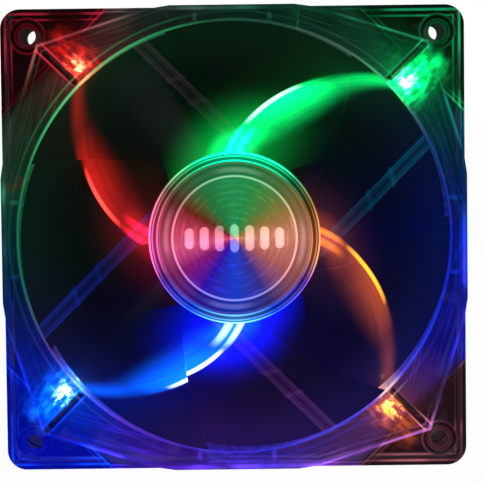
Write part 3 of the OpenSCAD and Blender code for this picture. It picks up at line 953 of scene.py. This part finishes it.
    def _hub(self, face: Face, depth: Num, plan: Plan) -> Hue:
        """Light on the hub: bright fine rings on its front shoulder, and a faint side.

        Args:
            face: The shaded point's place on the fan's front.
            depth: Its depth from the middle plane.
            plan: The fan's sizes.

        Returns:
            The light.
        """
        r = face.radius
        front = depth.rise(3.2 - plan.depth / 2, 1.6 - plan.depth / 2)
        rings = 2.0 * r.line(plan.hub - 0.1, 0.42) + 0.7 * r.line(plan.hub - 0.95, 0.26)
        rings = rings + 0.9 * r.line(plan.hub - 2.15, 0.26)
        shoulder = r.rise(plan.hub + 0.4, plan.hub) * r.rise(plan.hub - 2.5, plan.hub - 2.1)
        near = face.sheet.ramp(face.turn, self.SHOULDER)
        return near * ((rings * 1.5 + 0.22 * shoulder) * (0.12 + 0.88 * front))

    def _strut_glow(self, face: Face, plan: Plan) -> Hue:
        """Faint glow painted where the struts lie behind the blades: two edges, a channel and clips.

        Args:
            face: The shaded point's place on the fan's front.
            plan: The fan's sizes.

        Returns:
            The light.
        """
        total: Optional[Hue] = None
        for lamp, colour in zip(LAMPS, self.STRUT_GLOW):
            outward, beside = face.along(lamp.corner)
            off = (beside + plan.strut_at).size()
            body = 0.22 * off.rise(plan.strut_w / 2 + 0.3, plan.strut_w / 2 - 0.3)
            edges = 0.8 * off.line(plan.strut_w / 2 - 0.2, 0.5) + 0.45 * off.line(0.7, 0.35)
            clips = (face.radius.line(36.6, 0.9) + face.radius.line(44.0, 0.9)) * off.rise(2.6, 2.0)
            # Painted glow where this strut lies behind the blades.
            shown = 0.6 * (body + edges + 0.5 * clips) * outward.rise(9.0, 12.0)
            shown = shown * (0.55 + 0.45 * face.radius.rise(34.0, 48.0))
            share = face.sheet.mix(shown, (0.0, 0.0, 0.0), colour)
            total = share if total is None else total + share
        return total


@dataclass(frozen=True)
class ClearBlades:
    """Smoke-tinted clear plastic of the impeller, darker than the frame's.

    Attributes:
        body: The plastic's own colour.
        cover: How much one surface hides of what is behind it.
        glow: Strength of the lamps' light inside it.
    """

    body: Colour = (0.012, 0.0125, 0.014)
    cover: float = 0.965
    glow: float = 1.8

    def material(self, plan: Plan) -> Skin:
        """Builds the material, with its roughness varying in radial streaks over the blades.

        Args:
            plan: The fan's sizes.

        Returns:
            The skin.
        """
        skin = Skin("clear_blade_plastic", IOR=1.49, Specular_IOR_Level=0.25)
        cloud = skin.sheet.noise(skin.place, 70.0)
        face, depth = skin.face(plan.axle)
        marks = skin.sheet.noise(skin.sheet.place(face.turn * 30.0, face.radius * 0.25, 0.0), 1.0, 2.0)
        skin.feed("Base Color", skin.sheet.mix(cloud, scaled(self.body, 0.85), scaled(self.body, 1.2)))
        skin.feed("Roughness", 0.16 + 0.16 * marks)
        skin.feed("Alpha", self.cover + 0.03 * cloud)
        skin.feed("Normal", skin.sheet.relief(cloud, 3e-5))
        # The lamps' light is painted on the blades as glow, and turns with the impeller.
        skin.shader.inputs["Emission Strength"].default_value = self.glow
        skin.feed("Emission Color", SweptLight().light(face, depth, plan))
        return skin


@dataclass(frozen=True)
class SpunFoil:
    """Foil disc turned on a lathe, with fine rings, and each lamp's light painted on it as coloured glow.

    SHEEN holds shares of the turn, counter-clockwise from the right, with the lamps' light painted there as
    a coloured sheen.

    Attributes:
        outer: The disc's radius.
        white_ring: Radius of its thin white ring, painted as a white highlight.
        soft_ring: Radius of its broad pale ring, painted as a highlight.
    """

    outer: float = 19.8
    white_ring: float = 16.05
    soft_ring: float = 17.75

    SHEEN = (
        (0.00, (0.74, 0.25, 0.17)), (0.07, (0.36, 0.20, 0.05)), (0.13, (0.10, 0.24, 0.05)),
        (0.20, (0.02, 0.30, 0.07)), (0.26, (0.02, 0.30, 0.09)), (0.34, (0.02, 0.20, 0.05)),
        (0.41, (0.15, 0.018, 0.006)), (0.47, (0.62, 0.05, 0.11)), (0.52, (0.80, 0.10, 0.24)),
        (0.585, (0.28, 0.008, 0.18)), (0.66, (0.03, 0.004, 0.44)), (0.75, (0.01, 0.05, 0.70)),
        (0.83, (0.04, 0.03, 0.30)), (0.91, (0.46, 0.12, 0.12)), (1.00, (0.74, 0.25, 0.17)),
    )

    def material(self, plan: Plan) -> Skin:
        """Builds the material: each lamp's light is painted as coloured glow that fans out
        over the rings, with painted white highlights on the rings and the printed bars.

        Args:
            plan: The fan's sizes.

        Returns:
            The skin.
        """
        skin = Skin("spun_hub_foil", Metallic=0.0, Specular_IOR_Level=0.35)
        sheet = skin.sheet
        face, _ = skin.face(plan.axle)
        wobble = sheet.noise(skin.place, 60.0, 2.0)
        fine = ((face.radius * 0.62 + 1.7 * wobble) * TURN).math("SINE")
        arcs = sheet.place(face.turn * 14.0, face.radius * 0.9, 0.0)
        sparkle = sheet.noise(arcs, 1.0, 3.0).rise(0.40, 0.70)
        # Painted glints on the fine rings, in broken arcs.
        ring_glints = (0.5 + 0.5 * fine) * sparkle ** 1.5 * face.radius.rise(16.6, 14.8)
        # The broad ring's painted highlight is brighter in four directions.
        swells = 0.20 + 0.80 * (face.turn * (TURN * 4.0) + 1.9).math("SINE").rise(-0.1, 0.9)
        rings = face.radius.line(self.white_ring, 0.36)
        rings = rings + 0.34 * swells * face.radius.line(self.soft_ring, 0.85)
        rings = rings + 0.16 * face.radius.line(self.outer - 0.3, 0.35)
        # White glow: painted highlights on the rings and on the printed bars. With the ring glints, they
        # also lighten the foil's base colour.
        white = (rings + 0.85 * self._motif(face)).least(1.0)
        bright = (0.50 * ring_glints + white).least(1.0)
        skin.feed("Base Color", sheet.mix(bright, (0.05, 0.05, 0.053), (0.16, 0.16, 0.165)))
        skin.shader.inputs["Emission Strength"].default_value = 1.0
        # The lamps' coloured light is painted on the foil as glow, stronger on the glints and print.
        strength = (0.80 + 1.05 * bright) * (1.0 - 0.35 * face.radius.rise(15.2, 17.2))
        sheen = sheet.ramp(face.turn, self.SHEEN) * strength
        skin.feed("Emission Color", sheen + sheet.mix(white, (0.0, 0.0, 0.0), (0.26, 0.24, 0.27)))
        skin.feed("Roughness", 0.38 - 0.14 * ring_glints)
        skin.feed("Normal", sheet.relief(fine * 0.5 + sparkle * 0.3, 2.5e-5))
        return skin

    @staticmethod
    def _motif(face: Face) -> Num:
        """Seven upright bars with round ends in a row, tallest in the middle.

        Args:
            face: The shaded point's place on the fan's front.

        Returns:
            1 on the bars and 0 beside them.
        """
        pitch, half = 3.9, 1.12
        beside = ((face.across * (1.0 / pitch) + 0.5).part() - 0.5) * pitch
        tall = 3.6 - 0.08 * face.across.size()
        over = (face.up.size() - tall + half).most(0.0)
        away = (beside * beside + over * over).root()
        return away.rise(half + 0.22, half - 0.22) * face.across.size().rise(13.9, 13.5)


@dataclass(frozen=True)
class Grained:
    """A finish whose colour, roughness and relief vary by cloudy noise.

    Attributes:
        name: The finish's name.
        colour: Its middle colour.
        rough: Its middle roughness.
        metal: Its metallic share.
        spread: How much the colour varies, as a share.
        scale: How fine the noise is.
        depth: The relief's depth in metres.
        stretch: How the noise is stretched along X, Y and Z.
    """

    name: str
    colour: Colour
    rough: float
    metal: float = 0.0
    spread: float = 0.25
    scale: float = 400.0
    depth: float = 2e-5
    stretch: tuple[float, float, float] = (1.0, 1.0, 1.0)

    def material(self) -> Skin:
        """Builds the material.

        Returns:
            The skin.
        """
        skin = Skin(self.name, Metallic=self.metal)
        cloud = skin.sheet.noise(skin.place, self.scale, 4.0, self.stretch)
        low, high = scaled(self.colour, 1 - self.spread), scaled(self.colour, 1 + self.spread)
        skin.feed("Base Color", skin.sheet.mix(cloud, low, tuple(min(1.0, c) for c in high)))
        skin.feed("Roughness", (self.rough - 0.08) + 0.16 * cloud)
        skin.feed("Normal", skin.sheet.relief(cloud, self.depth))
        return skin


@dataclass(frozen=True)
class Lens:
    """A lamp's tinted lens, hottest along its axis.

    Attributes:
        lamp: The lamp whose colours it has.
        power: Strength of its light.
    """

    lamp: Lamp
    power: float = 14.0

    def material(self, plan: Plan) -> Skin:
        """Builds the material.

        Args:
            plan: The fan's sizes.

        Returns:
            The skin.
        """
        skin = Skin(f"lens_{self.lamp.name}", Roughness=0.12, IOR=1.5)
        skin.shader.inputs["Base Color"].default_value = (*scaled(self.lamp.core, 0.3), 1.0)
        skin.shader.inputs["Emission Strength"].default_value = self.power
        face, depth = skin.face(plan.axle)
        _, beside = face.along(self.lamp.corner)
        off = ((beside + LAMP_BACK) ** 2.0 + depth * depth).root()
        tinted = scaled(self.lamp.beam, 0.9)
        skin.feed("Emission Color", skin.sheet.mix(off.rise(0.4, 1.5), self.lamp.core, tinted))
        return skin


# ---------------------------------------------------------------- sub-assemblies


@dataclass
class Housing:
    """The frame: duct, flanges, ears, struts and motor base.

    Attributes:
        plan: The fan's sizes.
        finish: Its clear plastic.
    """

    plan: Plan
    finish: ClearWalls = ClearWalls()

    def build(self) -> bpy.types.Object:
        """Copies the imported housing, welds it and smooths its round walls.

        Returns:
            The shell.
        """
        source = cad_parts["frame_housing"]
        shell = bpy.data.objects.new("clear_frame", source.data.copy())
        bpy.context.scene.collection.objects.link(shell)
        weld(shell, 24.0, outwards=False)
        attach(shell, "frame")
        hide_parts("frame_housing")
        return shell

    def dress(self, shell: bpy.types.Object) -> None:
        """Gives the shell its clear plastic."""
        self.finish.material(self.plan).put_on(shell)


@dataclass
class Impeller:
    """The hub and its seven blades, one moulding.

    Sizes are in millimetres, with heights from the exhaust face.

    Attributes:
        plan: The fan's sizes.
        finish: Its clear plastic.
        blades: How many blades it has.
        low: Height of a blade's trailing edge at its root.
        high: Height of its leading edge there.
        root: Radius at which a blade starts, inside the hub's wall.
        camber: How much steeper a blade is at its trailing edge.
        sweep: Turn forwards for each unit of the radius's logarithm, in radians.
        overlap: How far neighbouring blades overlap, in degrees.
        thick: A blade's thickness at its root.
        trim: How far each of its edges closes in at the tip.
        hub_low: Height of the hub's rear rim.
        hub_high: Height of its front.
        wall: Thickness of its side.
        roof: Thickness of its front.
        recess: Radius of the label's recess.
        recess_deep: Depth of that recess.
        chord_steps: Points along a blade's chord.
        span_steps: Points along its span.
    """

    plan: Plan
    finish: ClearBlades = ClearBlades()
    blades: int = 7
    low: float = 5.7
    high: float = 21.4
    root: float = 21.45
    camber: float = 0.62
    sweep: float = 0.55
    overlap: float = 3.6
    thick: float = 1.5
    trim: float = 1.3
    hub_low: float = 5.0
    hub_high: float = 24.3
    wall: float = 1.5
    roof: float = 1.6
    recess: float = 19.9
    recess_deep: float = 0.3
    chord_steps: int = 40
    span_steps: int = 36

    def _height(self, u: np.ndarray, v: np.ndarray) -> np.ndarray:
        """Height at shares u of the chord and v of the span: a parabola in u that narrows with v."""
        low, high = self.low + self.trim * v * v, self.high - self.trim * v * v
        return low + (high - low) * ((1 + self.camber) * u - self.camber * u * u)

    def _angle(self, u: np.ndarray, r: np.ndarray) -> np.ndarray:
        """Angle in radians: share u of the blade's arc, plus sweep times the radius's logarithm."""
        share = math.radians(360.0 / self.blades + self.overlap)
        return (u - 0.5) * share + self.sweep * np.log(r / self.plan.hub)

    def _half(self, u: np.ndarray, v: np.ndarray) -> np.ndarray:
        """Half the blade's thickness: full in the middle of the chord, thin at its edges."""
        body = 0.35 + 0.65 * np.sin(math.pi * u**0.75).clip(0.0) ** 0.6
        return self.thick / 2.0 * (1 - 0.3 * v) * body

    def _blade(self, number: int) -> tuple[np.ndarray, np.ndarray]:
        """One blade as rings of points from root to tip: its upper side from the
        trailing edge to the leading edge, then its lower side back.

        Args:
            number: Which blade, from 0.

        Returns:
            Its points and faces.
        """
        near = 0.01
        ease = 0.5 - 0.5 * np.cos(np.linspace(0.0, math.pi, self.chord_steps))
        u = np.concatenate([ease, ease[::-1]])[None]
        sign = np.concatenate([np.ones(self.chord_steps), -np.ones(self.chord_steps)])[None]
        v = np.linspace(0.0, 1.0, self.span_steps)[:, None]
        r = self.root + (self.plan.tip - self.root) * v
        t = sign * self._half(u, v)
        before, after = (u - near).clip(0.0), (u + near).clip(None, 1.0)
        rise = self._height(after, v) - self._height(before, v)
        run = r * (self._angle(after, r) - self._angle(before, r))
        slope = np.arctan2(rise, run)
        a = self._angle(u, r) - t * np.sin(slope) / r + number * TURN / self.blades
        z = self._height(u, v) + t * np.cos(slope)
        r = r + 0.0 * u
        points = to_row(r * np.cos(a), r * np.sin(a), z, self.plan)
        tip_r, root_r = points[-1:], points[:1]
        middle = np.stack([(p + p[:, ::-1]) / 2.0 for p in (root_r, tip_r)])
        points = np.concatenate([middle[0], points, middle[1]])
        return points.reshape(-1, 3), grid_faces(len(points), points.shape[1])

    def _hub(self) -> tuple[np.ndarray, np.ndarray]:
        """The hub's cup: its closed profile turned about the axle, with a soft shoulder.

        Returns:
            Its points and faces.
        """
        p = self.plan
        under, inside = self.hub_high - self.roof, p.hub - self.wall
        sunk, rim = self.hub_high - self.recess_deep, self.recess
        profile = rounded(
            [
                (0.0, under, 0.0), (inside, under, 0.5), (inside, self.hub_low, 0.2),
                (p.hub, self.hub_low, 0.3), (p.hub, self.hub_high, 1.4),
                (rim, self.hub_high, 0.08), (rim, sunk, 0.05), (0.0, sunk, 0.0),
            ],
            10,
        )
        return lathe(profile, 192, p)

    def build(self) -> bpy.types.Object:
        """Makes the hub and blades as one object.

        Returns:
            The impeller.
        """
        parts = [self._hub(), *(self._blade(k) for k in range(self.blades))]
        made = mesh_object("clear_impeller", *joined(parts))
        weld(made, 40.0)
        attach(made, "rotor")
        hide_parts("impeller")
        return made

    def dress(self, made: bpy.types.Object) -> None:
        """Gives the impeller its clear plastic and the label its foil."""
        self.finish.material(self.plan).put_on(made)
        SpunFoil().material(self.plan).put_on(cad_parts["hub_label"])


@dataclass
class LampSet:
    """The four corner lamps with their pins, sleeves and wires.

    Attributes:
        plan: The fan's sizes.
        tip: Where a lens's dome starts, outwards from the axle.
        length: A lens's length.
        radius: A lens's radius.
        rim: Radius of the rim at its back.
        rim_long: That rim's length.
    """

    plan: Plan
    tip: float = 56.55
    length: float = 5.3
    radius: float = 1.5
    rim: float = 1.8
    rim_long: float = 1.0

    def _lens(self, lamp: Lamp) -> bpy.types.Object:
        """A lamp's lens: a domed profile with a rim, turned about the lamp's own axis.

        Args:
            lamp: The lamp.

        Returns:
            The lens.
        """
        back = self.tip + self.length
        t = np.linspace(0.0, math.pi / 2, 16)
        dome = np.stack([self.tip + self.radius * (1 - np.cos(t)), self.radius * np.sin(t)], axis=-1)
        front = back - self.rim_long
        body = [[front, self.radius], [front, self.rim], [back, self.rim], [back, 0.0]]
        profile = np.concatenate([dome, np.array(body)])
        s = np.arange(32) * TURN / 32
        out = profile[:, :1] + 0.0 * s
        beside = profile[:, 1:] * np.cos(s) - LAMP_BACK
        height = self.plan.depth / 2 + profile[:, 1:] * np.sin(s)
        a = math.radians(lamp.corner)
        x = out * math.cos(a) - beside * math.sin(a)
        y = out * math.sin(a) + beside * math.cos(a)
        points = to_row(x, y, height, self.plan).reshape(-1, 3)
        made = mesh_object(f"lens_{lamp.name}", points, grid_faces(len(profile), len(s)))
        weld(made, 35.0)
        return made

    def build(self) -> list[tuple[Lamp, bpy.types.Object]]:
        """Makes the lenses.

        Returns:
            Each lamp with its lens.
        """
        made = []
        for lamp in LAMPS:
            lens = self._lens(lamp)
            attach(lens, "frame")
            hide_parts(f"led_{lamp.name}")
            made.append((lamp, lens))
        return made

    def dress(self, made: list[tuple[Lamp, bpy.types.Object]]) -> None:
        """Gives the lenses their light, and the pins, sleeves and wires their finishes.

        Args:
            made: Each lamp with its lens.
        """
        pins = Grained("tinned_pin", (0.60, 0.60, 0.61), 0.32, 1.0, 0.15, 900.0).material()
        sleeves = Grained("shrink_sleeve", (0.02, 0.02, 0.022), 0.55, spread=0.3).material()
        wires = Grained("wire_jacket", (0.05, 0.05, 0.055), 0.42, spread=0.2).material()
        for lamp, lens in made:
            Lens(lamp).material(self.plan).put_on(lens)
            pins.put_on(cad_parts[f"led_pins_{lamp.name}"])
            sleeves.put_on(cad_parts[f"wire_sleeves_{lamp.name}"])
            wires.put_on(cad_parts[f"led_wires_{lamp.name}"])


class Motor:
    """The brushless motor inside the hub and on the motor base, with a finish to each piece."""

    FINISHES = {
        "rear_label": Grained("rear_foil", (0.58, 0.59, 0.61), 0.36, 0.9, 0.10, 300.0),
        "bearing_plug": Grained("plug_plastic", (0.025, 0.025, 0.028), 0.5),
        "sleeve_bearing": Grained("oiled_bronze", (0.50, 0.30, 0.14), 0.38, 1.0, 0.3, 1500.0),
        "oil_ring": Grained("nylon_washer", (0.78, 0.77, 0.72), 0.45, spread=0.08),
        "circuit_board": Grained("solder_mask", (0.012, 0.12, 0.05), 0.28, spread=0.35, scale=250.0),
        "hall_sensor": Grained("sensor_body", (0.02, 0.02, 0.022), 0.5),
        "driver_chip": Grained("chip_body", (0.024, 0.024, 0.026), 0.55),
        "capacitor": Grained("capacitor_glaze", (0.50, 0.38, 0.25), 0.3),
        "resistors": Grained("resistor_glaze", (0.02, 0.02, 0.025), 0.35),
        "stator_core": Grained(
            "stacked_sheets", (0.34, 0.34, 0.36), 0.4, 0.9, 0.3, 300.0, 6e-5, (0.05, 9.0, 0.05)
        ),
        "bobbin_front": Grained("bobbin_nylon", (0.72, 0.70, 0.62), 0.42, spread=0.1),
        "bobbin_rear": Grained("bobbin_nylon_rear", (0.72, 0.70, 0.62), 0.42, spread=0.1),
        "coil_windings": Grained(
            "enamelled_copper", (0.50, 0.17, 0.06), 0.25, 0.8, 0.35, 500.0, 8e-5, (6.0, 0.2, 6.0)
        ),
        "rotor_yoke": Grained(
            "plated_cup", (0.50, 0.51, 0.53), 0.3, 1.0, 0.12, 200.0, 1e-5, (1.0, 6.0, 1.0)
        ),
        "ring_magnet": Grained("bonded_ferrite", (0.04, 0.038, 0.036), 0.6),
        "shaft": Grained(
            "ground_shaft", (0.60, 0.61, 0.63), 0.18, 1.0, 0.08, 700.0, 5e-6, (1.0, 8.0, 1.0)
        ),
        "retaining_clip": Grained("clip_nylon", (0.80, 0.79, 0.74), 0.4, spread=0.08),
    }

    def dress(self) -> None:
        """Gives each packed motor piece its own finish."""
        for node, finish in self.FINISHES.items():
            finish.material().put_on(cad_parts[node])


# ---------------------------------------------------------------- light and camera


@dataclass
class Studio:
    """A plain pale floor, soft light and the camera.

    Attributes:
        plan: The fan's sizes.
        lens: The camera's focal length, in millimetres.
        away: Its distance from the fan's middle, in metres.
        above: How far above that middle it looks from, in degrees.
        roll: How far it is rolled, in degrees.
        slide: Its shift to the side and upwards.
    """

    plan: Plan
    lens: float = 159.5
    away: float = 0.5625
    above: float = 3.5
    roll: float = -0.7
    slide: tuple[float, float] = (0.0135, -0.0115)

    def floor(self) -> None:
        """A wide pale disc that the fan stands on, which throws next to no light back at it."""
        t = np.arange(96) * TURN / 96
        radii = np.array([0.0, 0.4, 1.5, 8.0])[:, None]
        points = np.stack([radii * np.cos(t), radii * np.sin(t), 0.0 * radii * t], axis=-1).reshape(-1, 3)
        disc = mesh_object("floor", points, grid_faces(len(radii), len(t)))
        weld(disc, 30.0)
        disc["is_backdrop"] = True
        skin = Skin("pale_floor", Roughness=0.6)
        cloud = skin.sheet.noise(skin.place, 3.0)
        seen = Num(skin.sheet, skin.sheet.node("ShaderNodeLightPath").outputs["Is Camera Ray"])
        skin.feed("Base Color", skin.sheet.mix(cloud, (0.11, 0.11, 0.11), (0.12, 0.12, 0.12)))
        skin.shader.inputs["Emission Strength"].default_value = 1.0
        skin.feed("Emission Color", skin.sheet.mix(seen, (0.02, 0.02, 0.02), (0.97, 0.97, 0.97)))
        skin.put_on(disc)

    def lights(self) -> None:
        """A white surround that is dim on the fan, and two large soft panels."""
        world = bpy.data.worlds.new("studio")
        bpy.context.scene.world = world
        world.use_nodes = True
        sheet = Sheet(world.node_tree)
        seen = sheet.node("ShaderNodeLightPath").outputs["Is Camera Ray"]
        strength = Num(sheet, seen) * 0.98 + 0.025
        inputs = {"Color": (1.0, 1.0, 1.0, 1.0), "Strength": strength}
        back = sheet.node("ShaderNodeBackground", None, inputs)
        out = sheet.node("ShaderNodeOutputWorld")
        sheet.tree.links.new(back.outputs[0], out.inputs[0])
        for name, place, wide, power in (
            ("soft_top", (0.25, -0.35, 0.75), 0.6, 0.35),
            ("soft_side", (-0.8, -0.2, 0.35), 0.5, 0.2),
        ):
            data = bpy.data.lights.new(name, "AREA")
            data.energy, data.size = power, wide
            panel = bpy.data.objects.new(name, data)
            panel.location = place
            aim = Vector((0.0, 0.0, self.plan.axle * MM)) - Vector(place)
            panel.rotation_mode = "QUATERNION"
            panel.rotation_quaternion = aim.to_track_quat("-Z", "Y")
            bpy.context.scene.collection.objects.link(panel)

    def camera(self) -> None:
        """The camera, a little above the fan's middle and in front of it."""
        data = bpy.data.cameras.new("camera")
        data.lens, data.sensor_width = self.lens, 36.0
        data.shift_x, data.shift_y = self.slide
        data.clip_start, data.clip_end = 0.01, 50.0
        cam = bpy.data.objects.new("camera", data)
        e = math.radians(self.above)
        back = Vector((0.0, -math.cos(e), math.sin(e)))
        cam.location = Vector((0.0, 0.0, self.plan.axle * MM)) + back * self.away
        cam.rotation_mode = "QUATERNION"
        turn = Quaternion((0.0, 0.0, 1.0), math.radians(self.roll))
        cam.rotation_quaternion = (-back).to_track_quat("-Z", "Y") @ turn
        bpy.context.scene.collection.objects.link(cam)
        bpy.context.scene.camera = cam
        bpy.context.scene.view_settings.view_transform = "Standard"


def main() -> None:
    """Builds the fan's looks in order and reports each piece."""
    logging.basicConfig(level=logging.INFO, format="%(name)s: %(message)s")
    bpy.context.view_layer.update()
    plan = Plan.read()
    studio = Studio(plan)
    studio.camera()
    studio.floor()
    studio.lights()
    for assembly in (Housing(plan), Impeller(plan), LampSet(plan)):
        made = assembly.build()
        assembly.dress(made)
        LOG.info("%s built", type(assembly).__name__)
    Motor().dress()
    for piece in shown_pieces():
        LOG.info("%s shown with %s", piece.name, piece.data.materials[0].name)


if __name__ == "__main__":
    main()
